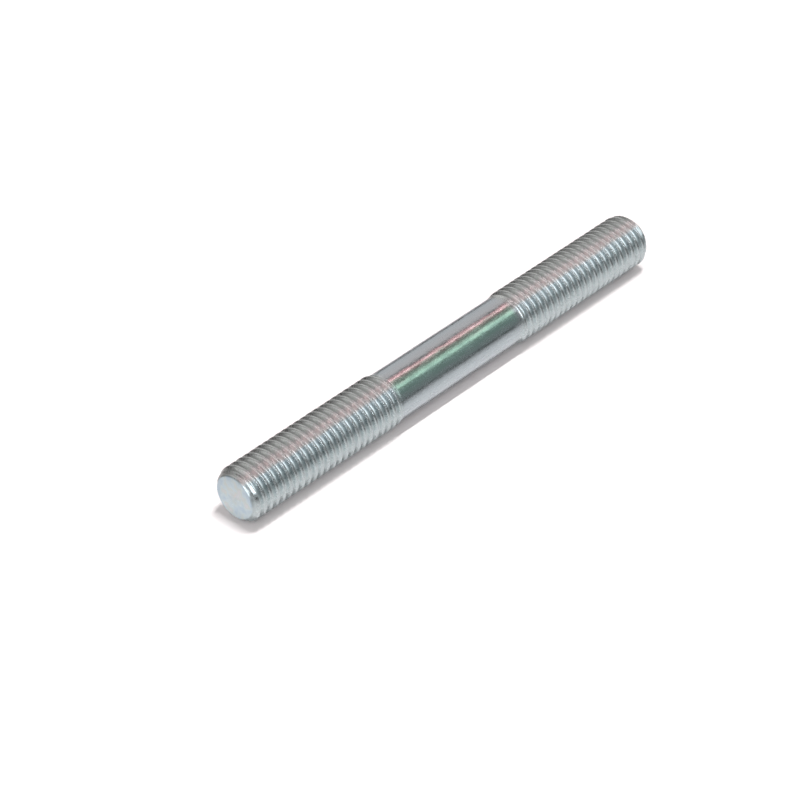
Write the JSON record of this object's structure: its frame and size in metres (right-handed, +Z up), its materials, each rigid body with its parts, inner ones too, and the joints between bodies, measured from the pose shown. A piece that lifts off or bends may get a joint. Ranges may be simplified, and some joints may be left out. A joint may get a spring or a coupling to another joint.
{
  "type": "double-ended stud",
  "caption": "Double-ended fastening stud: a straight steel rod with a right-hand metric thread on each end and a plain, slightly waisted shank between them.",
  "frame": {"origin": "middle of the stud's length, on the surface it lies on, straight below its axis", "axes": "+X along the stud's axis from the end with the longer thread to the end with the shorter one, +Z up from the surface it lies on"},
  "size_m": [0.12, 0.0118, 0.0118],
  "materials": {
    "zinc_plated_steel": "bright zinc plate with a clear blue passivate over rolled threads and a drawn shank"
  },
  "bodies": {
    "root": {"stud": "zinc_plated_steel"}
  },
  "joints": []
}
